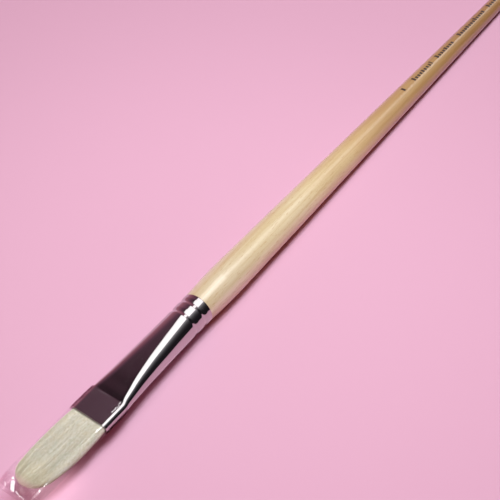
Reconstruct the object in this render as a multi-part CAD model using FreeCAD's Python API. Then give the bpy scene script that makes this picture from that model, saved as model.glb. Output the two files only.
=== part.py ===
import FreeCAD, Part
import math
import os

# Long-handled artist's filbert brush: hog-hair tuft, pressed nickel-plated ferrule,
# turned hardwood handle, clear slip-on protective sleeve.
#
# Everything is modelled on the brush's own axis first:
#   u = distance along the axis from the ferrule's mouth, positive towards the tuft's tip
#   y = across the flat of the tuft, z = through its thickness
# and then laid down at its true resting tilt, on the handle's belly and the handle's end.

# ---------------------------------------------------------------- driving dimensions (mm)
TUFT_OUT = 25.2          # hair length in front of the ferrule's mouth
TUFT_HALF_W = 6.20       # widest half width of the tuft
TUFT_HALF_T = 1.60       # thickest half thickness of the tuft
ROOT_END = 16.0          # how far the roots reach back inside the ferrule
SHEATH_START = 8.0       # the resin round the roots starts here

FERRULE_LEN = 48.0
FERRULE_WALL = 0.35
BAND_LEN = 8.6           # pressed, parallel flat band at the mouth
BAND_HALF_T = 1.60       # outer half thickness of the band
BAND_FLAT = 4.60         # half length of the band's flat (half width = flat + half thickness)
ROUND_FROM = 39.8        # the ferrule is round behind this
ROUND_R = 5.07           # its outer radius there
REAR_R = 5.16            # outer radius at its rear edge
GROOVES = (41.2, 45.4)   # the two rolled crimp grooves
GROOVE_DEPTH = 0.25
GROOVE_HALF_W = 1.30

SPIGOT_FRONT = 24.0      # front end of the handle's spigot inside the ferrule
CEMENT_GAP = 0.22        # cement between the spigot and the ferrule
CEMENT_FROM = 26.0
CEMENT_TO = 38.0
RESIN_END = 19.0

HANDLE_END = 280.0       # tail end of the handle
SLEEVE_FRONT = 28.5      # the sleeve's front rim, in front of the mouth
SLEEVE_REAR = -8.5       # its rear rim, on the ferrule's band
SLEEVE_HALF_T = 2.05     # outer half thickness
SLEEVE_FLAT = 4.60
SLEEVE_WALL = 0.20

# outer half thickness of the ferrule behind the band, against distance behind the mouth
THICK = [
    (8.6, 1.60), (9.2, 1.76), (10.0, 1.97), (11.0, 2.14), (13.0, 2.44), (15.0, 2.76),
    (17.5, 3.09), (20.5, 3.43), (24.0, 3.78), (28.0, 4.13), (32.0, 4.46), (36.0, 4.77),
    (38.0, 4.93), (39.8, ROUND_R),
]
# handle radius against distance behind the mouth
HANDLE = [
    (48.9, 5.12), (50.2, 5.18), (52.0, 5.27), (55.0, 5.42), (58.5, 5.51), (62.0, 5.53), (66.0, 5.49),
    (72.0, 5.40), (80.0, 5.27), (95.0, 5.05), (110.0, 4.81), (125.0, 4.58), (140.0, 4.35),
    (155.0, 4.12), (170.0, 3.88), (185.0, 3.63), (200.0, 3.39), (215.0, 3.17),
    (230.0, 2.94), (245.0, 2.72), (260.0, 2.50), (270.0, 2.34), (275.5, 2.22),
]

V = FreeCAD.Vector


# ---------------------------------------------------------------- helpers
def perimeter(l):
    """The pressed tube's girth: a tapered tube keeps its girth when it is flattened."""
    p_band = 4 * BAND_FLAT + 2 * math.pi * BAND_HALF_T
    p_round = 2 * math.pi * ROUND_R
    k = min(1.0, max(0.0, (l - BAND_LEN) / (ROUND_FROM - BAND_LEN)))
    return p_band + (p_round - p_band) * k


def groove(l):
    """Depth of the rolled grooves at a distance behind the mouth."""
    d = 0.0
    for c in GROOVES:
        x = abs(l - c) / GROOVE_HALF_W
        if x < 1.0:
            d += GROOVE_DEPTH * 0.5 * (1.0 + math.cos(math.pi * x))
    return d


def round_radius(l):
    return ROUND_R + (REAR_R - ROUND_R) * (l - ROUND_FROM) / (FERRULE_LEN - ROUND_FROM) - groove(l)


def stadium(u, flat, half_t):
    """Wire of two straight sides and two round ends, in the plane at u on the axis."""
    a = V(u, -flat, half_t)
    b = V(u, flat, half_t)
    c = V(u, flat, -half_t)
    d = V(u, -flat, -half_t)
    return Part.Wire([
        Part.makeLine(a, b),
        Part.Arc(b, V(u, flat + half_t, 0), c).toShape(),
        Part.makeLine(c, d),
        Part.Arc(d, V(u, -flat - half_t, 0), a).toShape(),
    ])


def prism(u0, u1, flat, half_t):
    face = Part.Face(stadium(u0, flat, half_t))
    return face.extrude(V(u1 - u0, 0, 0))


def ferrule_section(l):
    """Half flat and half thickness of the ferrule's outside at l behind the mouth."""
    if l <= BAND_LEN:
        return BAND_FLAT, BAND_HALF_T
    for (l0, b0), (l1, b1) in zip(THICK, THICK[1:]):
        if l0 <= l <= l1:
            b = b0 + (b1 - b0) * (l - l0) / (l1 - l0)
            return max(0.01, (perimeter(l) - 2 * math.pi * b) / 4), b
    return 0.01, round_radius(l)


def wedge(inset):
    """Solid of the ferrule's outside from the band to the round part, inset all round."""
    wires = []
    for l, b in THICK:
        flat = max(0.01, (perimeter(l) - 2 * math.pi * b) / 4)
        wires.append(stadium(-l, flat, b - inset))
    return Part.makeLoft(wires, True, False)


def spline_profile(points):
    curve = Part.BSplineCurve()
    curve.interpolate([V(*p) for p in points])
    return curve.toShape()


def round_part(inset, l0, l1, radius=None):
    """Revolved solid that follows the ferrule's round part, grooves included, inset all round."""
    n = 64
    pts = []
    for i in range(n + 1):
        l = l0 + (l1 - l0) * i / n
        pts.append((-l, 0, (radius or round_radius)(min(max(l, ROUND_FROM), FERRULE_LEN)) - inset))
    top = spline_profile(pts)
    a, b = V(*pts[0]), V(*pts[-1])
    edges = [top, Part.makeLine(b, V(b.x, 0, 0)), Part.makeLine(V(b.x, 0, 0), V(a.x, 0, 0)),
             Part.makeLine(V(a.x, 0, 0), a)]
    face = Part.Face(Part.Wire(edges))
    return face.revolve(V(0, 0, 0), V(1, 0, 0), 360)


def one(shape, name):
    """The single valid solid of a shape."""
    solids = shape.Solids
    if len(solids) != 1:
        raise RuntimeError("%s has %d solids" % (name, len(solids)))
    s = solids[0]
    if s.Volume < 0:
        s.reverse()
    if not s.isValid():
        raise RuntimeError("%s is not valid" % name)
    return s


# ---------------------------------------------------------------- ferrule
outer = prism(0.0, -BAND_LEN, BAND_FLAT, BAND_HALF_T)
outer = outer.fuse(wedge(0.0)).fuse(round_part(0.0, ROUND_FROM, FERRULE_LEN))
w = FERRULE_WALL
cavity = prism(1.0, -BAND_LEN, BAND_FLAT, BAND_HALF_T - w)
cavity = cavity.fuse(wedge(w)).fuse(round_part(w, ROUND_FROM, FERRULE_LEN + 0.5))
ferrule = one(outer.cut(cavity), "ferrule")

# ---------------------------------------------------------------- handle
# turned spigot that follows the inside of the ferrule, shoulder, belly, long taper, rounded end
spigot = [(-SPIGOT_FRONT - 0.6, 0, ferrule_section(SPIGOT_FRONT + 0.6)[1] - w - CEMENT_GAP)]
l = SPIGOT_FRONT + 3.0
while l < ROUND_FROM - 0.5:
    spigot.append((-l, 0, ferrule_section(l)[1] - w - CEMENT_GAP - 0.02))
    l += 2.0
l = ROUND_FROM
while l < FERRULE_LEN - 0.05:
    spigot.append((-l, 0, round_radius(l) - w - CEMENT_GAP))
    l += 0.2
spigot.append((-FERRULE_LEN, 0, round_radius(FERRULE_LEN) - w - CEMENT_GAP))
spigot_edge = spline_profile(spigot)
shoulder_r = 5.06
body = [(-FERRULE_LEN, 0, shoulder_r)] + [(-l, 0, r) for l, r in HANDLE]
body_edge = spline_profile(body)
end_l, end_r = HANDLE[-1]
tail = Part.BSplineCurve()
slope = (HANDLE[-1][1] - HANDLE[-3][1]) / (HANDLE[-1][0] - HANDLE[-3][0])
tail.interpolate(
    [V(-end_l, 0, end_r), V(-(HANDLE_END - 2.1), 0, 2.02), V(-(HANDLE_END - 0.75), 0, 1.38), V(-HANDLE_END, 0, 0)],
    InitialTangent=V(-1, 0, slope), FinalTangent=V(0, 0, -1))
tail_edge = tail.toShape()
front_r = spigot[0][2]
nose = [V(-SPIGOT_FRONT, 0, front_r - 0.6), V(*spigot[0])]
profile = Part.Wire([
    Part.makeLine(V(-SPIGOT_FRONT, 0, 0), nose[0]),
    Part.makeLine(nose[0], nose[1]),
    spigot_edge,
    Part.makeLine(V(*spigot[-1]), V(*body[0])),
    body_edge,
    tail_edge,
    Part.makeLine(V(-HANDLE_END, 0, 0), V(-SPIGOT_FRONT, 0, 0)),
])
handle = one(Part.Face(profile).revolve(V(0, 0, 0), V(1, 0, 0), 360), "handle")

# ---------------------------------------------------------------- cement round the spigot
def inside(stations, gap):
    """Closed ruled loft inside the ferrule at the given distances behind the mouth."""
    wires = []
    for l in stations:
        flat, b = ferrule_section(l)
        wires.append(stadium(-l, flat, b - w - gap))
    return Part.makeLoft(wires, True, True)


CEMENT_FIT = 0.015
cement_front = inside([CEMENT_FROM, 28.0, 30.0, 32.0, 34.0, 36.0, 37.0, CEMENT_TO], 0.02)
core_pts = [(u, r + CEMENT_FIT) for u, _, r in spigot if u > -39.1]
core_a, core_b = core_pts[0], core_pts[-1]
core_face = Part.Face(Part.Wire([
    spline_profile([(u, 0, r) for u, r in core_pts]),
    Part.makeLine(V(core_b[0], 0, core_b[1]), V(core_b[0], 0, 0)),
    Part.makeLine(V(core_b[0], 0, 0), V(core_a[0], 0, 0)),
    Part.makeLine(V(core_a[0], 0, 0), V(core_a[0], 0, core_a[1])),
]))
core = core_face.revolve(V(0, 0, 0), V(1, 0, 0), 360)
handle_cement = one(cement_front.cut(core), "handle_cement")

# ---------------------------------------------------------------- hair tuft
# sections as (u, half width, half thickness)
OUT = [
    (0.0, 5.79, 1.19), (2.0, 5.98, 1.38), (5.0, 6.13, 1.53), (8.5, TUFT_HALF_W, TUFT_HALF_T),
    (12.0, 6.16, 1.58), (15.5, 5.98, 1.50), (18.5, 5.60, 1.36), (21.0, 5.00, 1.18),
    (22.8, 4.15, 0.97), (24.05, 3.10, 0.74), (24.85, 1.90, 0.50), (TUFT_OUT, 0.62, 0.24),
]


# the roots inside the ferrule, as (u, gap to the ferrule's inside)
ROOTS = [(-ROOT_END, 0.40), (-15.0, 0.40), (-13.0, 0.40), (-11.0, 0.40), (-10.0, 0.40), (-9.2, 0.40),
         (-8.6, 0.40), (-SHEATH_START + 0.6, 0.06), (0.0, 0.06)]


def tuft_solid():
    wires = []
    for u, gap in ROOTS:
        flat, b = ferrule_section(-u)
        wires.append(stadium(u, flat, b - w - gap))
    roots = Part.makeLoft(wires, True, True)
    wires = [stadium(u, half_w - half_t, half_t) for u, half_w, half_t in OUT]
    return roots.fuse(Part.makeLoft(wires, True, False))


tuft = tuft_solid()
upper_box = Part.makeBox(60, 40, 20, V(-30, -20, 0))
lower_box = Part.makeBox(60, 40, 20, V(-30, -20, -20))
bristles_upper = one(tuft.common(upper_box), "bristles_upper")
bristles_lower = one(tuft.common(lower_box), "bristles_lower")

# ---------------------------------------------------------------- thread tied round the roots
root_room = inside([8.9, 9.2, 10.0, 11.0, 13.0, 15.0, ROOT_END + 0.03], 0.36)
bind_outer = inside([12.4, 13.0, 14.6], 0.10)
bind_inner = inside([12.0, 13.0, 15.0], 0.36)
root_binding = one(bind_outer.cut(bind_inner), "root_binding")

# ---------------------------------------------------------------- resin that sets the roots
resin_block = inside([9.2, 10.0, 11.0, 13.0, 15.0, 17.5, RESIN_END], 0.02)
bind_room = inside([12.37, 13.0, 14.63], 0.07)
setting_resin = one(resin_block.cut(root_room.fuse(bind_room)), "setting_resin")

# ---------------------------------------------------------------- clear sleeve
sleeve_out = prism(SLEEVE_REAR, SLEEVE_FRONT, SLEEVE_FLAT, SLEEVE_HALF_T)
sleeve_in = prism(SLEEVE_REAR - 1, SLEEVE_FRONT + 1, SLEEVE_FLAT, SLEEVE_HALF_T - SLEEVE_WALL)
protective_sleeve = one(sleeve_out.cut(sleeve_in), "protective_sleeve")

# ---------------------------------------------------------------- resting tilt and origin
# The brush lies on the handle's belly and on the handle's end, its head held up in the air.
probe = [(-l, r) for l, r in HANDLE] + [(-(HANDLE_END - 2.1), 2.02), (-(HANDLE_END - 0.75), 1.38)]
lo_t, hi_t = 0.0, math.radians(3)
for _ in range(60):
    tilt = 0.5 * (lo_t + hi_t)
    belly = min(u * math.sin(tilt) - r * math.cos(tilt) for u, r in probe if u > -150)
    end = min(u * math.sin(tilt) - r * math.cos(tilt) for u, r in probe if u <= -150)
    if belly < end:
        lo_t = tilt
    else:
        hi_t = tilt
place = FreeCAD.Placement(V(0, 0, 0), FreeCAD.Rotation(V(0, 1, 0), -math.degrees(tilt)))

nodes = {
    "handle": handle,
    "ferrule": ferrule,
    "handle_cement": handle_cement,
    "setting_resin": setting_resin,
    "root_binding": root_binding,
    "bristles_upper": bristles_upper,
    "bristles_lower": bristles_lower,
    "protective_sleeve": protective_sleeve,
}
turned = {}
for name, shape in nodes.items():
    s = shape.copy()
    s.transformShape(place.toMatrix(), True)
    turned[name] = s
boxes = [s.optimalBoundingBox(False, False) for s in turned.values()]
x0 = min(b.XMin for b in boxes)
x1 = max(b.XMax for b in boxes)
z0 = min(b.ZMin for b in boxes)
shift = V(-(x0 + x1) / 2, 0, -z0)

os.makedirs("parts", exist_ok=True)
for name, s in turned.items():
    s.translate(shift)
    if not s.isValid():
        raise RuntimeError(name + " is not valid after placing")
    s.exportStep("parts/%s.step" % name)
    b = s.optimalBoundingBox(False, False)
    print("%-18s vol %9.2f  x %.3f..%.3f  y %.3f..%.3f  z %.3f..%.3f" % (
        name, s.Volume, b.XMin, b.XMax, b.YMin, b.YMax, b.ZMin, b.ZMax))
print("tilt %.5f deg, sin %.6f cos %.6f, shift %.4f 0 %.4f" % (
    math.degrees(tilt), math.sin(tilt), math.cos(tilt), shift.x, shift.z))
print("box %.3f x ? x %.3f" % (x1 - x0, max(b.ZMax for b in boxes) - z0))
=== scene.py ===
import math

import bpy
import numpy as np
from mathutils import Matrix, Vector


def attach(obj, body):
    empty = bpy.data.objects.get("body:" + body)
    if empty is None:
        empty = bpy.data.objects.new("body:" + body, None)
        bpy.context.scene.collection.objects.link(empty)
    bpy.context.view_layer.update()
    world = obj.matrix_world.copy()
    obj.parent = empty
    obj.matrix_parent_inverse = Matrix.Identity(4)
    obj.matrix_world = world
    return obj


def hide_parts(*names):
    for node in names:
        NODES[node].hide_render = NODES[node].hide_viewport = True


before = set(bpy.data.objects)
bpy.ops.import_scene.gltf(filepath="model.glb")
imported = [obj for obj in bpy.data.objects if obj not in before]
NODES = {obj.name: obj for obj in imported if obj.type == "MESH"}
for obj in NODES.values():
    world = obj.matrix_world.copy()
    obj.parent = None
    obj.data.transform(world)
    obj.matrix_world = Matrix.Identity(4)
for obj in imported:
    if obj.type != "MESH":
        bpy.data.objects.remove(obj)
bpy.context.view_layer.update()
scene = bpy.context.scene

# The brush's own axis in the row frame: u runs along it from the ferrule's mouth towards the tip,
# y across the flat of the hair, z through its thickness. Lengths are in millimetres until place().
TILT_S, TILT_C = 0.015453, 0.999881
SHIFT_X, SHIFT_Z = 125.7193, 6.5203


def place(u, y, z):
    """Points given on the brush's own axis in mm, as an (n, 3) array in metres in the row frame."""
    u, y, z = (np.asarray(a, float) for a in (u, y, z))
    x = u * TILT_C - z * TILT_S + SHIFT_X
    h = u * TILT_S + z * TILT_C + SHIFT_Z
    return np.stack(np.broadcast_arrays(x, y, h), -1).reshape(-1, 3) * 0.001


def turn(nu, ny, nz):
    """Directions on the brush's own axis turned into the row frame, at unit length."""
    x = nu * TILT_C - nz * TILT_S
    h = nu * TILT_S + nz * TILT_C
    n = np.stack(np.broadcast_arrays(x, ny, h), -1).reshape(-1, 3)
    return n / np.linalg.norm(n, axis=1, keepdims=True)


# ------------------------------------------------------------------ small maths
def cubic(points):
    """Natural cubic spline through (x, y) points, as a function of an array."""
    p = np.array(points, float)
    x, y = p[:, 0], p[:, 1]
    n = len(x)
    h = np.diff(x)
    a = np.zeros((n, n))
    r = np.zeros(n)
    a[0, 0] = a[-1, -1] = 1.0
    for i in range(1, n - 1):
        a[i, i - 1], a[i, i], a[i, i + 1] = h[i - 1], 2 * (h[i - 1] + h[i]), h[i]
        r[i] = 6 * ((y[i + 1] - y[i]) / h[i] - (y[i] - y[i - 1]) / h[i - 1])
    m = np.linalg.solve(a, r)

    def f(t):
        t = np.clip(np.asarray(t, float), x[0], x[-1])
        i = np.clip(np.searchsorted(x, t) - 1, 0, n - 2)
        d0, d1, w = x[i + 1] - t, t - x[i], h[i]
        return (m[i] * d0**3 + m[i + 1] * d1**3) / (6 * w) + (y[i] / w - m[i] * w / 6) * d0 + (
            y[i + 1] / w - m[i + 1] * w / 6
        ) * d1

    return f


def pchip(points):
    """Monotone cubic through (x, y) points."""
    p = np.array(points, float)
    x, y = p[:, 0], p[:, 1]
    h = np.diff(x)
    d = np.diff(y) / h
    m = np.zeros(len(x))
    m[0], m[-1] = d[0], d[-1]
    for i in range(1, len(x) - 1):
        if d[i - 1] * d[i] > 0:
            w1, w2 = 2 * h[i] + h[i - 1], h[i] + 2 * h[i - 1]
            m[i] = (w1 + w2) / (w1 / d[i - 1] + w2 / d[i])

    def f(t):
        t = np.clip(np.asarray(t, float), x[0], x[-1])
        i = np.clip(np.searchsorted(x, t) - 1, 0, len(x) - 2)
        w = h[i]
        s = (t - x[i]) / w
        return (
            (2 * s**3 - 3 * s**2 + 1) * y[i]
            + (s**3 - 2 * s**2 + s) * w * m[i]
            + (-2 * s**3 + 3 * s**2) * y[i + 1]
            + (s**3 - s**2) * w * m[i + 1]
        )

    return f


# ------------------------------------------------------------------ mesh helpers
def mesh_object(name, verts, faces, material, normals=None, smooth=True):
    me = bpy.data.meshes.new(name)
    me.from_pydata(np.asarray(verts).tolist(), [], [list(map(int, f)) for f in faces])
    me.validate()
    me.update()
    me.polygons.foreach_set("use_smooth", [smooth] * len(me.polygons))
    if normals is not None:
        me.normals_split_custom_set_from_vertices(np.asarray(normals).tolist())
    me.materials.append(material)
    ob = bpy.data.objects.new(name, me)
    scene.collection.objects.link(ob)
    return ob


def grid_faces(rows, cols, wrap_rows=False, wrap_cols=False, flip=False):
    r = np.arange(rows if wrap_rows else rows - 1)
    c = np.arange(cols if wrap_cols else cols - 1)
    rr, cc = np.meshgrid(r, c, indexing="ij")
    r1, c1 = (rr + 1) % rows, (cc + 1) % cols
    q = np.stack([rr * cols + cc, rr * cols + c1, r1 * cols + c1, r1 * cols + cc], -1).reshape(-1, 4)
    return q[:, ::-1] if flip else q


def point_attribute(ob, name, values):
    a = ob.data.attributes.new(name, "FLOAT", "POINT")
    a.data.foreach_set("value", np.asarray(values, np.float32))


# ------------------------------------------------------------------ node helpers
class Nodes:
    def __init__(self, name):
        self.mat = bpy.data.materials.new(name)
        self.mat.use_nodes = True
        self.nt = self.mat.node_tree
        self.nt.nodes.clear()
        self.out = self.add("ShaderNodeOutputMaterial")

    def add(self, kind, **props):
        n = self.nt.nodes.new(kind)
        for k, v in props.items():
            setattr(n, k, v)
        return n

    def link(self, a, b):
        self.nt.links.new(a, b)

    def put(self, socket, value):
        if isinstance(value, bpy.types.NodeSocket):
            self.link(value, socket)
        else:
            socket.default_value = value

    def math(self, op, a, b=None, c=None, clamp=False):
        n = self.add("ShaderNodeMath", operation=op, use_clamp=clamp)
        self.put(n.inputs[0], a)
        if b is not None:
            self.put(n.inputs[1], b)
        if c is not None:
            self.put(n.inputs[2], c)
        return n.outputs[0]

    def span(self, value, a, b, c=0.0, d=1.0, smooth=True):
        n = self.add("ShaderNodeMapRange", interpolation_type="SMOOTHSTEP" if smooth else "LINEAR")
        self.put(n.inputs["Value"], value)
        for k, v in zip(("From Min", "From Max", "To Min", "To Max"), (a, b, c, d)):
            n.inputs[k].default_value = v
        return n.outputs["Result"]

    def mix(self, fac, a, b, blend="MIX"):
        n = self.add("ShaderNodeMix", data_type="RGBA", blend_type=blend)
        self.put(n.inputs["Factor"], fac)
        self.put(n.inputs["A"], a if isinstance(a, bpy.types.NodeSocket) else (*a, 1.0))
        self.put(n.inputs["B"], b if isinstance(b, bpy.types.NodeSocket) else (*b, 1.0))
        return n.outputs["Result"]

    def axis_coords(self, su, sy, sz, offset=(0, 0, 0)):
        """Coordinates along the brush's own axis, in mm times the scales given."""
        tc = self.add("ShaderNodeTexCoord")
        a = self.add("ShaderNodeMapping", vector_type="POINT")
        self.link(tc.outputs["Object"], a.inputs["Vector"])
        a.inputs["Rotation"].default_value = (0.0, math.radians(0.88541), 0.0)
        a.inputs["Scale"].default_value = (1000.0, 1000.0, 1000.0)
        b = self.add("ShaderNodeMapping", vector_type="POINT")
        self.link(a.outputs["Vector"], b.inputs["Vector"])
        b.inputs["Scale"].default_value = (su, sy, sz)
        b.inputs["Location"].default_value = offset
        return b.outputs["Vector"]

    def noise(self, vector, scale, detail=3.0, rough=0.5, distort=0.0):
        n = self.add("ShaderNodeTexNoise")
        self.link(vector, n.inputs["Vector"])
        n.inputs["Scale"].default_value = scale
        n.inputs["Detail"].default_value = detail
        n.inputs["Roughness"].default_value = rough
        n.inputs["Distortion"].default_value = distort
        return n.outputs["Fac"]

    def bump(self, height, distance, strength=1.0, normal=None):
        n = self.add("ShaderNodeBump")
        self.link(height, n.inputs["Height"])
        n.inputs["Distance"].default_value = distance
        self.put(n.inputs["Strength"], strength)
        if normal is not None:
            self.link(normal, n.inputs["Normal"])
        return n.outputs["Normal"]

    def attribute(self, name):
        n = self.add("ShaderNodeAttribute", attribute_name=name)
        return n.outputs["Fac"]

    def principled(self, **values):
        p = self.add("ShaderNodeBsdfPrincipled")
        for k, v in values.items():
            k = k.replace("_", " ")
            self.put(p.inputs[k], v)
        return p


# ------------------------------------------------------------------ materials
def wood_material():
    n = Nodes("lacquered_wood")
    # long soft streaks of the grain, then short fine flecks, both drawn out along the axis
    grain = n.noise(n.axis_coords(0.030, 0.85, 0.85, (3.0, 1.0, 7.0)), 1.0, 5.0, 0.62, 0.5)
    broad = n.noise(n.axis_coords(0.012, 0.16, 0.16, (11.0, 4.0, 2.0)), 1.0, 2.0, 0.5)
    fleck = n.noise(n.axis_coords(0.42, 3.2, 3.2, (5.0, 9.0, 1.0)), 1.0, 2.0, 0.55)
    pores = n.noise(n.axis_coords(0.9, 7.5, 7.5, (2.0, 3.0, 8.0)), 1.0, 1.0, 0.5)
    base = n.mix(n.span(broad, 0.35, 0.68), (0.735, 0.605, 0.41), (0.665, 0.515, 0.315))
    base = n.mix(n.math("MULTIPLY", n.span(grain, 0.46, 0.72), 0.55), base, (0.60, 0.435, 0.24))
    base = n.mix(n.math("MULTIPLY", n.span(grain, 0.46, 0.28), 0.55), base, (0.82, 0.715, 0.53))
    # the wood's tone deepens to gold and brown towards the handle's end; part of this darkening is painted shade,
    # standing in for the light falling off along the handle
    place_on = n.add("ShaderNodeSeparateXYZ")
    n.link(n.axis_coords(1.0, 1.0, 1.0), place_on.inputs[0])
    deep_tone_and_falloff = n.add("ShaderNodeValToRGB")
    n.link(n.span(place_on.outputs["X"], 125.7 - 48.0, 125.7 - 280.0, smooth=False), deep_tone_and_falloff.inputs["Fac"])
    tones = deep_tone_and_falloff.color_ramp
    tones.elements[0].position, tones.elements[0].color = 0.0, (0.90, 1.0, 0.97, 1)
    tones.elements[1].position, tones.elements[1].color = 1.0, (0.40, 0.275, 0.165, 1)
    for l, tone in (
        (56, (0.93, 1.05, 1.07)), (75, (0.93, 1.04, 0.98)), (97, (0.93, 1.03, 0.97)), (105, (0.91, 0.97, 0.85)),
        (117, (0.84, 0.85, 0.70)), (125, (0.84, 0.84, 0.68)), (133, (0.77, 0.72, 0.54)), (142, (0.71, 0.64, 0.47)),
        (151, (0.65, 0.56, 0.39)), (171, (0.56, 0.46, 0.285)), (191, (0.48, 0.375, 0.21)), (212, (0.42, 0.31, 0.175)),
    ):
        e = tones.elements.new((l - 48.0) / 232.0)
        e.color = (*tone, 1)
    # multiplies in the deepening tone, partly painted falloff shade
    base = n.mix(1.0, base, deep_tone_and_falloff.outputs["Color"], blend="MULTIPLY")
    # painted shade: the underside is painted a little warmer and darker, standing in for shade and warm bounce from
    # below
    underside_painted_shade = n.math("MULTIPLY", n.span(place_on.outputs["Z"], 6.7, 3.4), 0.90)
    base = n.mix(underside_painted_shade, base, n.mix(1.0, base, (0.85, 0.74, 0.48), blend="MULTIPLY"))
    base = n.mix(n.math("MULTIPLY", n.span(fleck, 0.60, 0.72), 0.55), base, (0.46, 0.29, 0.12))
    base = n.mix(n.math("MULTIPLY", n.span(pores, 0.64, 0.74), 0.35), base, (0.38, 0.23, 0.10))
    rough = n.span(fleck, 0.3, 0.75, 0.42, 0.58)
    dent = n.noise(n.axis_coords(0.11, 0.22, 0.22, (1.0, 5.0, 2.0)), 1.0, 2.0, 0.5)
    normal = n.bump(dent, 0.00003, 0.7)
    normal = n.bump(fleck, 0.000012, 0.5, normal)
    p = n.principled(
        Base_Color=base, Roughness=rough, Normal=normal, Coat_Weight=1.0, Coat_Roughness=0.075,
        Coat_IOR=n.span(place_on.outputs["X"], 125.7 - 60.0, 125.7 - 84.0, 1.98, 1.62),
        Specular_IOR_Level=0.25,
    )
    n.link(n.bump(dent, 0.00004, 0.6), p.inputs["Coat Normal"])
    n.link(p.outputs[0], n.out.inputs[0])
    return n.mat


def nickel_material():
    n = Nodes("nickel_plate")
    cloud = n.noise(n.axis_coords(0.055, 0.16, 0.16, (4.0, 4.0, 4.0)), 1.0, 2.0, 0.5)
    lines = n.noise(n.axis_coords(0.10, 9.0, 9.0, (1.0, 2.0, 3.0)), 1.0, 3.0, 0.6)
    rings = n.noise(n.axis_coords(7.0, 0.30, 0.30, (8.0, 1.0, 3.0)), 1.0, 2.0, 0.5)
    smudge = n.noise(n.axis_coords(0.16, 0.42, 0.42, (2.0, 7.0, 5.0)), 1.0, 3.0, 0.6, 0.4)
    base = n.mix(n.span(cloud, 0.3, 0.7), (0.50, 0.465, 0.465), (0.545, 0.515, 0.515))
    rough = n.math("ADD", n.span(smudge, 0.42, 0.75, 0.070, 0.100), n.span(lines, 0.5, 0.8, 0.0, 0.04))
    normal = n.bump(cloud, 0.00004, 0.30)
    normal = n.bump(lines, 0.0000010, 0.6, normal)
    normal = n.bump(rings, 0.0000010, 0.4, normal)
    p = n.principled(Base_Color=base, Metallic=1.0, Roughness=rough, Normal=normal)
    n.link(p.outputs[0], n.out.inputs[0])
    return n.mat


def hair_material():
    n = Nodes("hog_bristle")
    tone = n.attribute("tone")
    along = n.attribute("along")
    streak = n.noise(n.axis_coords(0.35, 5.0, 5.0, (1.0, 1.0, 6.0)), 1.0, 3.0, 0.6)
    speck_and_glint = n.noise(n.axis_coords(1.3, 3.0, 3.0, (2.0, 8.0, 3.0)), 1.0, 2.0, 0.65)
    cast = n.noise(n.axis_coords(0.35, 0.6, 0.6, (7.0, 3.0, 4.0)), 1.0, 2.0, 0.5)
    base = n.mix(tone, (0.65, 0.665, 0.51), (0.82, 0.875, 0.765))
    base = n.mix(n.math("MULTIPLY", n.span(streak, 0.45, 0.8), 0.30), base, (0.60, 0.54, 0.35))
    base = n.mix(n.math("MULTIPLY", n.span(cast, 0.52, 0.68), 0.40), base, (0.70, 0.80, 0.68))
    base = n.mix(n.math("MULTIPLY", n.span(cast, 0.48, 0.34), 0.30), base, (0.82, 0.80, 0.58))
    # painted highlights: short bright glints on single hairs are painted into the colour; the darker specks below are
    # the hairs' own fine dark points
    base = n.mix(n.math("MULTIPLY", n.span(speck_and_glint, 0.52, 0.66), 0.60), base, (0.97, 0.99, 0.95))
    base = n.mix(n.math("MULTIPLY", n.span(speck_and_glint, 0.48, 0.34), 0.45), base, (0.56, 0.53, 0.36))
    base = n.mix(n.math("MULTIPLY", n.span(along, 0.55, 1.0), 0.35), base, (0.77, 0.725, 0.42))
    base = n.mix(n.span(along, 0.90, 1.0, 0.0, 0.75), base, (1.0, 0.93, 0.84))
    base = n.mix(n.span(along, 0.020, 0.004, 0.0, 0.80), base, (0.10, 0.075, 0.045))  # shade at the mouth
    p = n.principled(
        Base_Color=base, Roughness=0.60, Specular_IOR_Level=0.28, Sheen_Weight=0.10, Sheen_Roughness=0.4
    )
    n.link(n.bump(streak, 0.00001, 0.4), p.inputs["Normal"])
    n.link(p.outputs[0], n.out.inputs[0])
    return n.mat


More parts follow.
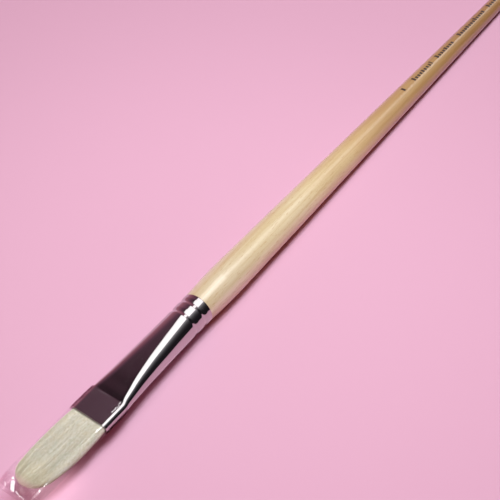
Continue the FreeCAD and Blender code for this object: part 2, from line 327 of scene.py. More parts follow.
def film_material():
    n = Nodes("clear_film")
    crease = n.noise(n.axis_coords(0.30, 0.85, 0.85, (3.0, 2.0, 9.0)), 1.0, 3.0, 0.55, 1.2)
    fine = n.noise(n.axis_coords(0.9, 1.8, 1.8, (6.0, 2.0, 1.0)), 1.0, 3.0, 0.6)
    facet = n.attribute("facet")  # 1 on the small pressed creases, which are taut and catch the lamps
    normal = n.bump(crease, 0.00016, n.span(facet, 0.2, 0.9, 0.5, 0.05))
    normal = n.bump(fine, 0.00002, n.span(facet, 0.2, 0.9, 0.35, 0.08), normal)
    along = n.attribute("along")
    crisp = n.attribute("crisp")  # 1 where the film stands free and shines, 0 where it clings to the hair
    facing = n.add("ShaderNodeLayerWeight")
    facing.inputs["Blend"].default_value = 0.5
    edge = n.span(facing.outputs["Facing"], 0.30, 0.55)
    # painted shade: seen edge-on over the ferrule, the film's outline is tinted dark, a painted stand-in for the dark
    # of the metal carried to its own outline
    over_metal_painted_dark = n.math("MULTIPLY", n.span(along, 0.5, -0.3), n.span(along, -8.9, -8.4))
    tint = n.mix(n.span(fine, 0.35, 0.7), (0.994, 0.994, 0.994), (0.982, 0.984, 0.984))
    tint = n.mix(n.math("MULTIPLY", edge, over_metal_painted_dark), tint, (0.66, 0.52, 0.57))
    # partly the film's own haze, partly painted shade: the free front is tinted pink-grey, darkening the shadowed
    # table seen through it
    tint = n.mix(n.span(along, 23.5, 26.0), tint, (0.978, 0.938, 0.953))
    clear = n.add("ShaderNodeBsdfTransparent")
    n.put(clear.inputs["Color"], tint)
    gloss = n.add("ShaderNodeBsdfGlossy")
    gloss.inputs["Color"].default_value = (1.0, 1.0, 1.0, 1.0)
    n.link(n.span(crisp, 0.0, 1.0, 0.30, 0.09, smooth=False), gloss.inputs["Roughness"])
    n.link(normal, gloss.inputs["Normal"])
    fres = n.add("ShaderNodeFresnel")
    fres.inputs["IOR"].default_value = 1.45
    n.link(normal, fres.inputs["Normal"])
    share = n.math("MINIMUM", fres.outputs[0], 0.12)
    share = n.math("MULTIPLY", share, n.span(crisp, 0.0, 1.0, 0.15, 1.0, smooth=False))
    share = n.math("MAXIMUM", share, n.math("MULTIPLY", facet, n.span(along, 20.0, 25.0, 0.075, 0.17)))
    m = n.add("ShaderNodeMixShader")
    n.link(share, m.inputs[0])
    n.link(clear.outputs[0], m.inputs[1])
    n.link(gloss.outputs[0], m.inputs[2])
    n.link(m.outputs[0], n.out.inputs[0])
    return n.mat


def ink_material():
    n = Nodes("handle_print")
    wear = n.noise(n.axis_coords(1.6, 1.6, 1.6, (0.0, 3.0, 1.0)), 1.0, 4.0, 0.6)
    p = n.principled(
        Base_Color=n.mix(n.span(wear, 0.4, 0.75), (0.016, 0.010, 0.008), (0.06, 0.036, 0.020)),
        Roughness=0.45, Coat_Weight=0.25, Coat_Roughness=0.15,
    )
    n.link(p.outputs[0], n.out.inputs[0])
    return n.mat


def grainy_material(name, dark, light, scale, rough, distance, coat=0.0):
    n = Nodes(name)
    f = n.noise(n.axis_coords(1.0, 1.0, 1.0, (2.0, 5.0, 3.0)), scale, 5.0, 0.6)
    p = n.principled(Base_Color=n.mix(n.span(f, 0.3, 0.7), dark, light), Roughness=rough, Coat_Weight=coat)
    n.link(n.bump(f, distance, 0.6), p.inputs["Normal"])
    n.link(p.outputs[0], n.out.inputs[0])
    return n.mat


def thread_material():
    n = Nodes("waxed_thread")
    w = n.add("ShaderNodeTexWave", wave_type="BANDS", bands_direction="X")
    n.link(n.axis_coords(1.0, 0.25, 0.25), w.inputs["Vector"])
    w.inputs["Scale"].default_value = 1.2
    w.inputs["Distortion"].default_value = 1.0
    p = n.principled(
        Base_Color=n.mix(w.outputs["Fac"], (0.40, 0.33, 0.22), (0.66, 0.60, 0.48)), Roughness=0.7
    )
    n.link(n.bump(w.outputs["Fac"], 0.00008, 0.8), p.inputs["Normal"])
    n.link(p.outputs[0], n.out.inputs[0])
    return n.mat


WOOD, NICKEL, HAIR, FILM, INK = (
    wood_material(), nickel_material(), hair_material(), film_material(), ink_material()
)

# ------------------------------------------------------------------ ferrule
WALL = 0.35
BAND_LEN, BAND_FLAT, BAND_T = 8.6, 4.60, 1.60
ROUND_FROM, ROUND_R, REAR_R, FERRULE_LEN = 39.8, 5.07, 5.16, 48.0
GROOVES, GROOVE_DEPTH, GROOVE_HALF = (41.2, 45.4), 0.25, 1.30
THICK = [
    (8.6, 1.60), (9.2, 1.76), (10.0, 1.97), (11.0, 2.14), (13.0, 2.44), (15.0, 2.76), (17.5, 3.09),
    (20.5, 3.43), (24.0, 3.78), (28.0, 4.13), (32.0, 4.46), (36.0, 4.77), (38.0, 4.93), (39.8, 5.07),
]
_table_l = np.linspace(0.0, FERRULE_LEN, 4801)
_thick = pchip(THICK)
_b = np.where(_table_l <= BAND_LEN, BAND_T, _thick(_table_l))
_b = np.where(
    _table_l > ROUND_FROM,
    ROUND_R + (REAR_R - ROUND_R) * (_table_l - ROUND_FROM) / (FERRULE_LEN - ROUND_FROM),
    _b,
)
_kernel = np.exp(-0.5 * (np.arange(-40, 41) / 13.0) ** 2)
_b = np.convolve(np.pad(_b, 40, mode="edge"), _kernel / _kernel.sum(), mode="valid")
_p_band = 4 * BAND_FLAT + 2 * math.pi * BAND_T
_p_round = 2 * math.pi * ROUND_R
_p = _p_band + (_p_round - _p_band) * np.clip((_table_l - BAND_LEN) / (ROUND_FROM - BAND_LEN), 0, 1)
_f = np.maximum((_p - 2 * math.pi * _b) / 4, 0.004)
_f = np.convolve(np.pad(_f, 40, mode="edge"), _kernel / _kernel.sum(), mode="valid")
for _g in GROOVES:
    _x = np.abs(_table_l - _g) / GROOVE_HALF
    _b = _b - np.where(_x < 1, GROOVE_DEPTH * 0.5 * (1 + np.cos(math.pi * np.minimum(_x, 1))), 0)
_db, _df = np.gradient(_b, _table_l), np.gradient(_f, _table_l)


def ferrule_b(l):
    return np.interp(l, _table_l, _b)


def ferrule_f(l):
    return np.interp(l, _table_l, _f)


N_FLAT, N_ARC = 14, 26


def stadium_params():
    """Per column: sign of the flat offset (as a share of f), and the normal's y and z."""
    share, ny, nz = [], [], []
    for i in range(N_FLAT):
        share.append(-1 + 2 * i / N_FLAT), ny.append(0.0), nz.append(1.0)
    for i in range(N_ARC):
        t = math.pi / 2 - math.pi * i / N_ARC
        share.append(1.0), ny.append(math.cos(t)), nz.append(math.sin(t))
    for i in range(N_FLAT):
        share.append(1 - 2 * i / N_FLAT), ny.append(0.0), nz.append(-1.0)
    for i in range(N_ARC):
        t = -math.pi / 2 - math.pi * i / N_ARC
        share.append(-1.0), ny.append(math.cos(t)), nz.append(math.sin(t))
    return np.array(share), np.array(ny), np.array(nz)


SHARE, NY, NZ = stadium_params()
COLS = len(SHARE)


def make_ferrule():
    fillet = 0.13
    outer = np.concatenate([
        np.linspace(fillet, 8.0, 22)[:-1], np.linspace(8.0, 9.6, 26)[:-1], np.linspace(9.6, 39.6, 92)[:-1],
        np.linspace(39.6, FERRULE_LEN - fillet, 120),
    ])
    path = [(l, 0.0, 0.0, 1.0) for l in outer]  # distance, inset, normal along u, normal outward
    for t in np.linspace(0, math.pi / 2, 6)[1:]:
        path.append((FERRULE_LEN - fillet + fillet * math.sin(t), fillet * (1 - math.cos(t)), -math.sin(t), math.cos(t)))
    for t in np.linspace(0, math.pi / 2, 6)[:-1]:
        path.append((FERRULE_LEN - fillet + fillet * math.cos(t), WALL - fillet * (1 - math.sin(t)), -math.cos(t), -math.sin(t)))
    for l in np.concatenate([np.linspace(FERRULE_LEN - fillet, 39.6, 60)[:-1], np.linspace(39.6, fillet, 60)]):
        path.append((l, WALL, 0.0, -1.0))
    for t in np.linspace(0, math.pi / 2, 6)[1:]:
        path.append((fillet - fillet * math.sin(t), WALL - fillet * (1 - math.cos(t)), math.sin(t), -math.cos(t)))
    for t in np.linspace(0, math.pi / 2, 6)[:-1]:
        path.append((fillet - fillet * math.cos(t), fillet * (1 - math.sin(t)), math.cos(t), math.sin(t)))
    path = np.array(path)
    l, inset, nu, nr = (path[:, i][:, None] for i in range(4))
    b = ferrule_b(l) - inset
    f = ferrule_f(l)
    db, df = np.interp(l, _table_l, _db), np.interp(l, _table_l, _df)
    # the pressed tube is never perfectly even: a few hundredths of a millimetre over a centimetre or so
    ripple = 0.012 * np.sin(l * 0.61 + 2.2 * NY[None, :]) * np.sin(l * 0.23 + 1.3 * NZ[None, :] + 0.7)
    ripple = ripple * np.clip((l - 1.0) / 3.0, 0, 1) * np.clip((39.0 - l) / 4.0, 0, 1)
    y = SHARE[None, :] * f + (b + ripple) * NY[None, :]
    z = (b + ripple) * NZ[None, :]
    slope = df * np.abs(NY[None, :]) + db
    verts = place(-l + 0 * y, y, z)
    n_u = nu + nr * slope * 1.0
    normals = turn(n_u, nr * NY[None, :] + 0 * l, nr * NZ[None, :] + 0 * l)
    faces = grid_faces(len(path), COLS, wrap_rows=True, wrap_cols=True)
    ob = mesh_object("ferrule_shell", verts, faces, NICKEL)
    return ob, verts, normals


ferrule_ob, _, _ = make_ferrule()

# ------------------------------------------------------------------ handle
HANDLE = [
    (48.0, 5.06), (48.9, 5.12), (50.2, 5.18), (52.0, 5.27), (55.0, 5.42), (58.5, 5.51), (62.0, 5.53), (66.0, 5.49),
    (72.0, 5.40), (80.0, 5.27), (95.0, 5.05), (110.0, 4.81), (125.0, 4.58), (140.0, 4.35), (155.0, 4.12),
    (170.0, 3.88), (185.0, 3.63), (200.0, 3.39), (215.0, 3.17), (230.0, 2.94), (245.0, 2.72),
    (260.0, 2.50), (270.0, 2.34), (275.5, 2.22),
]
HANDLE_END = 280.0
handle_r = cubic(HANDLE)


def make_handle():
    prof = [(24.0, 0.0), (24.0, ferrule_b(24.6) - WALL - 0.85), (24.6, ferrule_b(24.6) - WALL - 0.25)]
    for l in np.linspace(25.5, 48.0, 70):
        prof.append((l, ferrule_b(l) - WALL - 0.24))
    prof.append((48.0, 4.98))
    prof.append((48.05, 5.045))
    for l in np.linspace(48.2, 275.5, 470):
        turned = 0.006 * math.sin(l * 0.9) * math.sin(l * 0.21 + 1.0) + 0.004 * math.sin(l * 2.7 + 0.5)
        prof.append((l, float(handle_r(l)) + turned))
    for i in range(1, 26):
        t = i / 25
        l = 275.5 + 4.5 * math.sin(t * math.pi / 2)
        r = 2.22 * max(0.0, 1 - ((l - 275.5) / 4.5) ** 2.6) ** 0.5
        prof.append((l, r))
    prof = np.array(prof)
    cols = 96
    ang = np.linspace(0, 2 * math.pi, cols, endpoint=False)
    l, r = prof[1:-1, 0][:, None], prof[1:-1, 1][:, None]
    verts = place(-l + 0 * ang[None, :], r * np.cos(ang)[None, :], r * np.sin(ang)[None, :])
    faces = [tuple(q) for q in grid_faces(len(prof) - 2, cols, wrap_cols=True)]
    n = len(verts)
    verts = np.vstack([verts, place([-24.0], [0.0], [0.0]), place([-HANDLE_END], [0.0], [0.0])])
    last = (len(prof) - 3) * cols
    for i in range(cols):
        j = (i + 1) % cols
        faces.append((j, i, n))
        faces.append((last + i, last + j, n + 1))
    return mesh_object("turned_handle", verts, faces, WOOD)


handle_ob = make_handle()


def make_print():
    """Plain generic ticks in a row along the handle, where the real one is printed. They spell nothing."""
    verts, faces = [], []

    def patch(l0, l1, a0, a1):
        nl, na = 5, 6
        base = len(verts)
        for i in range(nl):
            for j in range(na):
                l = l0 + (l1 - l0) * i / (nl - 1)
                a = a0 + (a1 - a0) * j / (na - 1)
                r = float(handle_r(l)) + 0.022
                verts.append((l, a, r))
        for i in range(nl - 1):
            for j in range(na - 1):
                k = base + i * na + j
                faces.append((k, k + na, k + na + 1, k + 1))

    mid = math.radians(95)
    heights = (1.0, 0.62, 0.62, 0.62, 0.80, 0.62, 0.62, 0.62)  # long and short ticks, as on a rule
    for start, stop in PRINT_GROUPS:
        l, k = start, 0
        while l < stop - 0.4:
            r = float(handle_r(l))
            foot = mid - 0.85 / r
            patch(l, min(l + 0.98, stop), foot, foot + 1.85 * heights[k % 8] / r)
            l += 1.50
            k += 1
    v = np.array(verts)
    pts = place(-v[:, 0], v[:, 2] * np.cos(v[:, 1]), v[:, 2] * np.sin(v[:, 1]))
    return mesh_object("handle_print_ticks", pts, faces, INK)


PRINT_GROUPS = [(164.3, 165.4), (171.4, 184.1), (187.7, 200.0), (204.1, 223.8), (226.7, 238.0)]
print_ob = make_print()

# ------------------------------------------------------------------ hair
FLOW_W = cubic([(-16, 4.9), (-12, 5.05), (-8.6, 5.3), (-4, 5.60), (0.0, 5.74), (2.0, 5.93), (5.0, 6.08), (8.5, 6.15),
                (12.0, 6.11), (15.5, 5.92), (18.5, 5.62), (21.0, 5.30), (23.0, 5.02), (24.4, 4.82), (26.2, 4.60)])
FLOW_T = cubic([(-16, 2.0), (-12, 1.62), (-8.6, 0.98), (-4, 1.08), (0.0, 1.12), (2.0, 1.31), (5.0, 1.46), (8.5, 1.53),
                (12.0, 1.51), (15.5, 1.43), (18.5, 1.27), (21.0, 1.08), (23.0, 0.88), (24.4, 0.72), (26.2, 0.5)])
OUTLINE = pchip([(0.0, 5.79), (2.0, 5.98), (5.0, 6.13), (8.5, 6.20), (12.0, 6.16), (15.5, 5.98), (18.5, 5.62),
                 (21.0, 5.05), (22.8, 4.25), (24.05, 3.20), (24.85, 1.95), (25.25, 0.45)])
_out_u = np.linspace(8.0, 25.25, 800)
_out_p = np.minimum(OUTLINE(_out_u) / FLOW_W(_out_u), 1.0)


def hair_end(p):
    """How far a hair at the share p of the half width reaches: the filbert's rounded outline."""
    ok = np.where(_out_p >= abs(p) * 0.999)[0]
    return float(_out_u[ok[-1]]) if len(ok) else 15.0


def make_hair():
    rng = np.random.default_rng(20)
    pitch = 0.162
    starts = []
    w0, t0 = 5.74, 1.12
    rows = int(t0 * 2 / (pitch * 0.866)) + 1
    for i in range(rows):
        zz = -t0 + pitch * 0.5 + i * (2 * t0 - pitch) / (rows - 1)
        half = (w0 - t0) + math.sqrt(max(0.0, t0 * t0 - zz * zz))
        m = int(2 * half / pitch)
        for j in range(m):
            yy = -half + pitch * 0.5 + j * (2 * half - pitch) / (m - 1) + rng.normal(0, 0.02)
            z2 = zz + rng.normal(0, 0.018)
            lim = (w0 - t0) + math.sqrt(max(0.0, t0 * t0 - z2 * z2))
            if abs(yy) <= lim:
                starts.append((yy, z2, i))
    starts = np.array(starts)
    sides = 5
    ring = np.linspace(0, 2 * math.pi, sides, endpoint=False)
    layers = {}
    for yy, zz, row in starts:
        p = float(np.clip(yy / w0, -0.999, 0.999))
        edge = math.sqrt(max(1e-6, t0 * t0 - max(0.0, abs(yy) - (w0 - t0)) ** 2))
        q = float(np.clip(zz / max(edge, 0.12), -1, 1))
        end = hair_end(p) - 1.5 * abs(q) ** 4 * rng.uniform(0.2, 1.0) - abs(rng.normal(0, 0.28))
        end = max(end, 12.5)
        us = np.concatenate([[-15.9, -12.0, -8.6, -4.0, -0.4], 0.4 + (end - 0.4) * np.linspace(0, 1, 13) ** 0.92])
        k = np.clip(us / end, 0, 1)
        wu, tu = FLOW_W(us), FLOW_T(us)
        stray = 1.0 + (2.6 if rng.random() < 0.03 else 0.0)
        a1, a2 = rng.normal(0, 0.014, 2) * stray
        ph1, ph2 = rng.uniform(0, 6.28, 2)
        y = p * wu + a1 * k**1.3 * np.sin(ph1 + us * 0.20) + rng.normal(0, 0.05) * stray * k**2.2
        flat = np.maximum(wu - tu, 0)
        room = tu * np.sqrt(np.clip(1 - np.clip((np.abs(y) - flat) / np.maximum(tu, 0.05), 0, 0.999) ** 2, 0, 1))
        z = q * room + a2 * 0.7 * k**1.3 * np.sin(ph2 + us * 0.17) + rng.normal(0, 0.03) * stray * k**2.2
        y = np.clip(y, -6.30, 6.30) - 0.95 * np.clip(us / 25.0, 0, 1) ** 2.6
        z = np.clip(z, -1.66, 1.66)
        rad = rng.uniform(0.066, 0.086)
        r = rad * np.where(us < 0, 1.0, 1.0 - 0.30 * k - 0.36 * np.clip((k - 0.80) / 0.20, 0, 1) ** 1.6)
        dy, dz = np.gradient(y, us), np.gradient(z, us)
        # the sections stand square to the hair's own direction
        ry, rz = np.cos(ring)[None, :] * r[:, None], np.sin(ring)[None, :] * r[:, None]
        yy3 = y[:, None] + ry
        zz3 = z[:, None] + rz
        uu3 = us[:, None] - ry * dy[:, None] - rz * dz[:, None]
        pts = np.stack([uu3, yy3, zz3], -1).reshape(-1, 3)
        tip = np.array([[us[-1] + 0.10, y[-1] + dy[-1] * 0.1, z[-1] + dz[-1] * 0.1]])
        tail = np.array([[us[0] - 0.02, y[0], z[0]]])
        tone = float(np.clip(rng.normal(0.55, 0.24), 0, 1))
        group = int(np.clip((row / (rows - 1)) * 6, 0, 5))
        g = layers.setdefault(group, {"v": [], "f": [], "tone": [], "along": [], "n": 0})
        base = g["n"]
        g["v"].append(np.vstack([pts, tip, tail]))
        rows_n = len(us)
        q4 = grid_faces(rows_n, sides, wrap_cols=True, flip=True) + base
        g["f"].extend(map(tuple, q4))
        t_i, b_i = base + rows_n * sides, base + rows_n * sides + 1
        last = base + (rows_n - 1) * sides
        for i in range(sides):
            j = (i + 1) % sides
            g["f"].append((last + j, last + i, t_i))
            g["f"].append((base + i, base + j, b_i))
        g["tone"].append(np.full(rows_n * sides + 2, tone))
        g["along"].append(np.concatenate([np.repeat(np.clip(us / 25.2, 0, 1), sides), [us[-1] / 25.2, 0]]))
        g["n"] += rows_n * sides + 2
    made = []
    for k in sorted(layers):
        g = layers[k]
        v = np.vstack(g["v"])
        ob = mesh_object("hair_layer_%d" % (k + 1), place(v[:, 0], v[:, 1], v[:, 2]), g["f"], HAIR)
        point_attribute(ob, "tone", np.concatenate(g["tone"]))
        point_attribute(ob, "along", np.concatenate(g["along"]))
        made.append(ob)
    return made


hair_obs = make_hair()

# ------------------------------------------------------------------ clear sleeve
SLEEVE_REAR, SLEEVE_FRONT, SLEEVE_FLAT, SLEEVE_T, SLEEVE_WALL = -8.5, 28.5, 4.60, 2.05, 0.20


# small creases pressed into the film, each a little tilted facet along a short line: start along and
# across, end along and across, half width, how far it tilts towards +Y, lift
FOLDS = [
    (25.60, -2.95, 26.60, -2.15, 0.42, 0.28, 0.16), (26.60, -2.10, 28.15, -0.85, 0.72, 0.28, 0.10),
    (28.10, 0.30, 28.40, 1.60, 0.26, 0.28, 0.12), (28.40, 1.60, 28.50, 3.60, 0.17, 0.28, 0.08),
    (27.60, -4.00, 28.30, -3.00, 0.16, 0.28, 0.10),
    (22.65, 5.08, 22.78, 5.15, 0.13, 0.0, 0.0), (21.85, 5.12, 21.90, 5.18, 0.10, 0.0, 0.0),
    (24.30, 5.05, 24.60, 5.20, 0.14, 0.0, 0.0),
    (-8.40, 4.22, -7.65, 4.12, 0.14, 0.28, 0.04), (-7.60, 4.10, -7.10, 4.72, 0.13, 0.28, 0.04),
    (-7.00, 4.76, -6.40, 4.42, 0.13, 0.28, 0.04), (-6.30, 4.18, -5.60, 4.50, 0.13, 0.28, 0.03),
    (-5.50, 4.36, -4.30, 4.34, 0.13, 0.28, 0.03),
    (2.60, 4.98, 0.30, 5.38, 0.20, 0.0, 0.0), (2.10, 4.60, 1.70, 4.75, 0.16, 0.28, 0.03),
]


def make_sleeve():
    nf, na = 40, 40
    share, ny, nz = [], [], []
    top_shares = np.concatenate([np.linspace(-1.0, 0.74, 72)[:-1], np.linspace(0.74, 1.0, 31)[:-1]])
    for v in top_shares:
        share.append(float(v)), ny.append(0.0), nz.append(1.0)
    for i in range(na):
        t = math.pi / 2 - math.pi * i / na
        share.append(1.0), ny.append(math.cos(t)), nz.append(math.sin(t))
    for i in range(nf):
        share.append(1 - 2 * i / nf), ny.append(0.0), nz.append(-1.0)
    for i in range(na):
        t = -math.pi / 2 - math.pi * i / na
        share.append(-1.0), ny.append(math.cos(t)), nz.append(math.sin(t))
    share, ny, nz = map(np.array, (share, ny, nz))
    cols = len(share)
    # place round the girth as an angle that runs evenly with the length of film
    run = np.concatenate([[0.0], np.cumsum(np.hypot(
        np.diff(share * SLEEVE_FLAT + SLEEVE_T * ny), np.diff(SLEEVE_T * nz)))])
    girth = 4 * SLEEVE_FLAT + 2 * math.pi * SLEEVE_T
    arc = run / girth * 2 * math.pi
    outer = np.concatenate([
        np.linspace(SLEEVE_REAR, -3.0, 60)[:-1], np.linspace(-3.0, 22.5, 90)[:-1],
        np.linspace(22.5, SLEEVE_FRONT, 80),
    ])
    path = [(u, 0.0) for u in outer]
    path += [(SLEEVE_FRONT + 0.05, SLEEVE_WALL * 0.3), (SLEEVE_FRONT + 0.05, SLEEVE_WALL * 0.7)]
    path += [(u, SLEEVE_WALL) for u in outer[::-1]]
    path += [(SLEEVE_REAR - 0.05, SLEEVE_WALL * 0.7), (SLEEVE_REAR - 0.05, SLEEVE_WALL * 0.3)]
    path = np.array(path)
    u, inset = path[:, 0][:, None], path[:, 1][:, None]
    a = arc[None, :]
    # soft film: slow swells, and a crumpled, slightly gathered free front end
    wave = 0.030 * np.sin(0.42 * u + 2 * a + 0.4) + 0.024 * np.sin(0.77 * u - 3 * a + 1.9)
    wave += 0.012 * np.sin(1.5 * u + 5 * a)
    free = np.clip((u - 23.0) / 5.5, 0, 1)
    crumple = 0.10 * np.sin(1.35 * u + 4 * a + 0.6) + 0.07 * np.sin(2.1 * u - 7 * a + 2.0)
    wave = wave + crumple * free**1.3 - 0.35 * free**2
    wave = wave - 0.14 * np.clip((-5.5 - u) / 3.0, 0, 1) ** 1.5 * (np.abs(ny[None, :]) ** 0.5)
    flat_y = share[None, :] * SLEEVE_FLAT + SLEEVE_T * ny[None, :]
    top = np.clip(nz[None, :] * 3.0, 0, 1)
    crisp = np.maximum(np.clip((u - 23.2) / 2.6, 0, 1), 0.5 * np.clip((-7.9 - u) / 0.5, 0, 1)) + 0 * flat_y
    facet = 0 * crisp
    for u0, y0, u1, y1, half, tilt, lift in FOLDS:
        du, dy = u1 - u0, y1 - y0
        t = np.clip(((u - u0) * du + (flat_y - y0) * dy) / (du * du + dy * dy), 0, 1)
        gap = np.hypot(u - u0 - t * du, flat_y - y0 - t * dy)
        g = np.exp(-((gap / half) ** 6)) * top
        settled = -0.30 * max(0.0, ((u0 + u1) / 2 - 23.0) / 5.5) ** 2
        wave = wave * (1 - g) + g * (lift + settled - tilt * (flat_y - (y0 + y1) / 2))
        facet = np.maximum(facet, np.clip(1.6 * g, 0, 1))
    rad = SLEEVE_T + wave - inset
    y = share[None, :] * SLEEVE_FLAT + rad * ny[None, :]
    z = rad * nz[None, :]
    verts = place(u + 0 * y, y, z)
    faces = grid_faces(len(path), cols, wrap_rows=True, wrap_cols=True, flip=True)
    ob = mesh_object("clear_sleeve", verts, faces, FILM)
    point_attribute(ob, "along", np.repeat(path[:, 0], cols))
    point_attribute(ob, "crisp", crisp.reshape(-1))
    point_attribute(ob, "facet", facet.reshape(-1))
    return ob


sleeve_ob = make_sleeve()

# ------------------------------------------------------------------ what rides on what
for ob in (ferrule_ob, handle_ob, print_ob, *hair_obs):
    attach(ob, "brush")
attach(sleeve_ob, "sleeve")
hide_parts("ferrule")
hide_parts("handle")
for ob in hair_obs[:3]:
    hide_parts("bristles_lower")
for ob in hair_obs[3:]:
    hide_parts("bristles_upper")
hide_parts("protective_sleeve")

for node, mat in (
    ("root_binding", thread_material()),
    ("setting_resin", grainy_material("amber_resin", (0.16, 0.075, 0.025), (0.34, 0.18, 0.06), 0.8, 0.22, 0.00004, 0.5)),
    ("handle_cement", grainy_material("dry_cement", (0.50, 0.44, 0.34), (0.70, 0.64, 0.52), 2.2, 0.8, 0.00008)),
):
    me = NODES[node].data
    if not me.materials:
        me.materials.append(mat)
    for s in NODES[node].material_slots:
        s.material = mat

# ------------------------------------------------------------------ floor, light, camera
def floor_material():
    n = Nodes("studio_floor")
    tc = n.add("ShaderNodeTexCoord")
    f = n.add("ShaderNodeTexNoise")
    n.link(tc.outputs["Object"], f.inputs["Vector"])
    f.inputs["Scale"].default_value = 6.0
    f.inputs["Detail"].default_value = 3.0
    base = n.mix(f.outputs["Fac"], (0.676, 0.412, 0.566), (0.694, 0.428, 0.584))
    # painted falloff of the light: the floor is painted a little deeper away from a point near the middle of the
    # table, like a pool of light round the brush
    light_pool_distance = n.add("ShaderNodeVectorMath", operation="DISTANCE")
    n.link(tc.outputs["Object"], light_pool_distance.inputs[0])
    light_pool_distance.inputs[1].default_value = (0.065, -0.010, 0.0)
    base = n.mix(n.span(light_pool_distance.outputs["Value"], 0.035, 0.19, 0.0, 0.85), base, (0.545, 0.325, 0.452))
    p = n.principled(Base_Color=base, Roughness=0.7, Specular_IOR_Level=0.15)
    n.link(p.outputs[0], n.out.inputs[0])
    return n.mat


def make_floor():
    size, n = 3.0, 12
    s = np.linspace(-size, size, n)
    yy, xx = np.meshgrid(s, s, indexing="ij")
    v = np.stack([xx.ravel(), yy.ravel(), np.zeros(n * n)], -1)
    return mesh_object("studio_floor", v, grid_faces(n, n), floor_material())


floor = make_floor()

world = bpy.data.worlds.new("studio")
scene.world = world
world.use_nodes = True
wn = world.node_tree
wn.nodes.clear()
w_out = wn.nodes.new("ShaderNodeOutputWorld")
w_bg = wn.nodes.new("ShaderNodeBackground")
w_tc = wn.nodes.new("ShaderNodeTexCoord")
w_sep = wn.nodes.new("ShaderNodeSeparateXYZ")
w_ramp = wn.nodes.new("ShaderNodeValToRGB")
w_side = wn.nodes.new("ShaderNodeMapRange")
w_mix = wn.nodes.new("ShaderNodeMix")
w_path = wn.nodes.new("ShaderNodeLightPath")
w_seen = wn.nodes.new("ShaderNodeMix")
w_mix.data_type = w_seen.data_type = "RGBA"
w_side.interpolation_type = "SMOOTHSTEP"
wn.links.new(w_tc.outputs["Generated"], w_sep.inputs[0])
wn.links.new(w_sep.outputs["Z"], w_ramp.inputs["Fac"])
wn.links.new(w_sep.outputs["Y"], w_side.inputs["Value"])
w_side.inputs["From Min"].default_value = 0.30
w_side.inputs["From Max"].default_value = -0.25
wn.links.new(w_side.outputs["Result"], w_mix.inputs["Factor"])
w_mix.inputs["A"].default_value = (0.018, 0.015, 0.019, 1)
wn.links.new(w_ramp.outputs["Color"], w_mix.inputs["B"])
# the room is dark beyond the lamps, as the bright metal shows; a plain pale backdrop stands behind the brush
wn.links.new(w_path.outputs["Is Camera Ray"], w_seen.inputs["Factor"])


def w_math(op, a, b):
    node = wn.nodes.new("ShaderNodeMath")
    node.operation = op
    for socket, value in zip(node.inputs, (a, b)):
        if isinstance(value, bpy.types.NodeSocket):
            wn.links.new(value, socket)
        else:
            socket.default_value = value
    return node.outputs[0]


def w_span(value, a, b):
    node = wn.nodes.new("ShaderNodeMapRange")
    node.interpolation_type = "SMOOTHSTEP"
    wn.links.new(value, node.inputs["Value"])
    node.inputs["From Min"].default_value, node.inputs["From Max"].default_value = a, b
    return node.outputs["Result"]


# a soft glow round the lamps that falls away to both sides
w_high = w_math("MAXIMUM", w_sep.outputs["Z"], 0.05)
w_across = w_math("DIVIDE", w_sep.outputs["Y"], w_high)
w_along = w_math("DIVIDE", w_sep.outputs["X"], w_high)
w_glow = wn.nodes.new("ShaderNodeValToRGB")
wn.links.new(w_math("DIVIDE", w_math("ADD", w_across, 0.6), 2.6), w_glow.inputs["Fac"])
glow = w_glow.color_ramp
glow.elements[0].position, glow.elements[0].color = 0.0, (0, 0, 0, 1)
glow.elements[1].position, glow.elements[1].color = 1.0, (0, 0, 0, 1)
for pos, v in ((0.070, 0.0), (0.100, 0.04), (0.154, 0.30), (0.395, 0.45), (0.4615, 0.26), (0.542, 0.10), (0.642, 0.045), (0.78, 0.016)):
    e = glow.elements.new(pos)
    e.color = (v, v, v * 1.06, 1)
w_window = w_math("MULTIPLY", w_span(w_along, 0.45, 0.05), w_span(w_along, -2.8, -0.9))
w_add = wn.nodes.new("ShaderNodeMix")
w_add.data_type, w_add.blend_type = "RGBA", "ADD"
wn.links.new(w_math("MULTIPLY", w_window, w_span(w_sep.outputs["Z"], 0.0, 0.15)), w_add.inputs["Factor"])
wn.links.new(w_mix.outputs["Result"], w_add.inputs["A"])
wn.links.new(w_glow.outputs["Color"], w_add.inputs["B"])
wn.links.new(w_add.outputs["Result"], w_seen.inputs["A"])
w_seen.inputs["B"].default_value = (0.80, 0.50, 0.64, 1)
# the fill that reaches matt surfaces is dim and warm
w_fill = wn.nodes.new("ShaderNodeMix")
w_fill.data_type = "RGBA"
wn.links.new(w_path.outputs["Is Diffuse Ray"], w_fill.inputs["Factor"])
wn.links.new(w_seen.outputs["Result"], w_fill.inputs["A"])
w_fill.inputs["B"].default_value = (0.170, 0.018, 0.012, 1)
wn.links.new(w_fill.outputs["Result"], w_bg.inputs["Color"])
wn.links.new(w_bg.outputs[0], w_out.inputs[0])
ramp = w_ramp.color_ramp
ramp.elements[0].position, ramp.elements[0].color = 0.0, (0.62, 0.27, 0.365, 1)
ramp.elements[1].position, ramp.elements[1].color = 1.0, (0.022, 0.015, 0.019, 1)
for pos, col in (
    (0.32, (0.40, 0.155, 0.21, 1)), (0.56, (0.26, 0.10, 0.15, 1)), (0.743, (0.150, 0.064, 0.100, 1)),
    (0.80, (0.135, 0.062, 0.094, 1)), (0.84, (0.115, 0.056, 0.082, 1)), (0.884, (0.066, 0.030, 0.044, 1)), (0.915, (0.022, 0.012, 0.017, 1)),
):
    e = ramp.elements.new(pos)
    e.color = col
w_bg.inputs["Strength"].default_value = 1.0

TARGET = Vector((0.110, 0.0, 0.007))


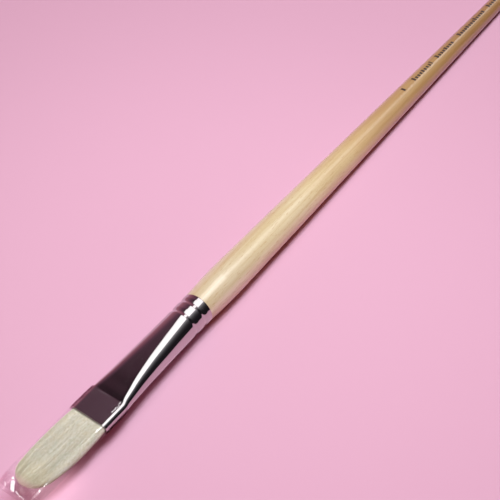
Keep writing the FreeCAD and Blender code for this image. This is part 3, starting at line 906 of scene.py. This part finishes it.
def softbox(name, across, along, height, radiance, colour=(1, 1, 1)):
    """A level area light overhead. across and along are the angles from straight up, as seen from the
    ferrule, that it reaches: across towards +Y, along towards the handle's end."""
    t = lambda a: math.tan(math.radians(a)) * height
    y0, y1 = t(across[0]), t(across[1])
    x0, x1 = -t(along[1]), -t(along[0])
    data = bpy.data.lights.new(name, "AREA")
    data.shape = "RECTANGLE"
    data.size, data.size_y = x1 - x0, y1 - y0
    data.energy = radiance * math.pi * data.size * data.size_y
    data.color = colour
    ob = bpy.data.objects.new(name, data)
    scene.collection.objects.link(ob)
    ob.location = TARGET + Vector(((x0 + x1) / 2, (y0 + y1) / 2, height))
    return ob


softbox("softbox_wide", (-18.0, 23.0), (-5.0, 34.0), 1.0, 1.6)
softbox("softbox_core", (-4.5, 12.5), (-5.0, 34.0), 1.0, 12.6)
softbox("softbox_far", (-6.0, 13.0), (34.2, 54.0), 1.0, 0.9)


def panel(name, direction, distance, width, height, radiance):
    """An area light that faces the brush from the given direction, its width level."""
    data = bpy.data.lights.new(name, "AREA")
    data.shape = "RECTANGLE"
    data.size, data.size_y = width, height
    data.energy = radiance * math.pi * width * height
    ob = bpy.data.objects.new(name, data)
    scene.collection.objects.link(ob)
    away = Vector(direction).normalized()
    side = Vector((-away.y, away.x, 0.0)).normalized()
    ob.matrix_world = Matrix.Translation(TARGET + away * distance) @ Matrix(
        (side, away.cross(side), away)
    ).transposed().to_4x4()
    return ob


panel("panel_rear", (-0.885, -0.055, 0.45), 1.6, 0.34, 0.62, 1.9)
panel("panel_front", (0.80, 0.01, 0.60), 1.6, 0.42, 0.55, 7.5)
# the hair's thin tip and the clear film let light through to the table below them
glow_data = bpy.data.lights.new("tip_glow", "AREA")
glow_data.shape, glow_data.size, glow_data.size_y = "RECTANGLE", 0.013, 0.011
glow_data.energy = 0.86 * math.pi * 0.013 * 0.011
glow_data.color = (1.0, 0.82, 0.76)
glow_ob = bpy.data.objects.new("tip_glow", glow_data)
scene.collection.objects.link(glow_ob)
glow_ob.location = (0.1450, 0.0015, 0.0040)
glow_ob.visible_camera = False

cam_data = bpy.data.cameras.new("photo_view")
cam_data.lens = 82.8
cam_data.sensor_width = 36.0
cam_data.clip_start, cam_data.clip_end = 0.01, 20.0
cam = bpy.data.objects.new("photo_view", cam_data)
scene.collection.objects.link(cam)
E, A = math.radians(47.966), math.radians(54.351)
right = Vector((-math.cos(A), math.sin(A), 0.0))
forward = Vector((-math.sin(A) * math.cos(E), -math.cos(A) * math.cos(E), -math.sin(E)))
up = right.cross(forward)
rot = Matrix((right, up, -forward)).transposed().to_4x4()
cam.matrix_world = Matrix.Translation(Vector((0.2403, 0.1352, 0.2648)) - right * 0.00009 + up * 0.00009) @ rot
scene.camera = cam
scene.view_settings.view_transform = "Standard"
